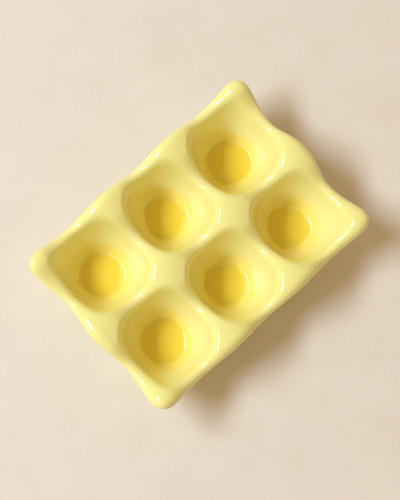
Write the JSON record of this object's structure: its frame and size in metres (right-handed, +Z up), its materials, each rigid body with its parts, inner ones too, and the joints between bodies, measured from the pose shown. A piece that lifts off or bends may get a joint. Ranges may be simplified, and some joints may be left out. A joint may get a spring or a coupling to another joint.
{
  "type": "deviled egg platter",
  "caption": "Small glazed ceramic tray with rows of round wells for egg halves, domed posts and low ridges between them, a wavy rounded lip and bare foot rings.",
  "frame": {"origin": "under the middle of the tray, on the surface it stands on", "axes": "+X along the rows of wells, +Y across the rows, +Z up"},
  "size_m": [0.1604, 0.1118, 0.038],
  "materials": {
    "clay": "fired cream clay, unglazed, matte",
    "yellow_glaze": "glossy yellow glaze",
    "amber_glaze": "glossy amber where the glaze pooled"
  },
  "bodies": {
    "root": {"clay_body": "clay", "top_glaze": "yellow_glaze", "underside_glaze": "yellow_glaze", "glaze_pool_1": "amber_glaze", "glaze_pool_2": "amber_glaze", "glaze_pool_3": "amber_glaze", "glaze_pool_4": "amber_glaze", "glaze_pool_5": "amber_glaze", "glaze_pool_6": "amber_glaze", "foot_ring_1": "clay", "foot_ring_2": "clay", "foot_ring_3": "clay", "foot_ring_4": "clay", "foot_ring_5": "clay", "foot_ring_6": "clay"}
  },
  "joints": []
}
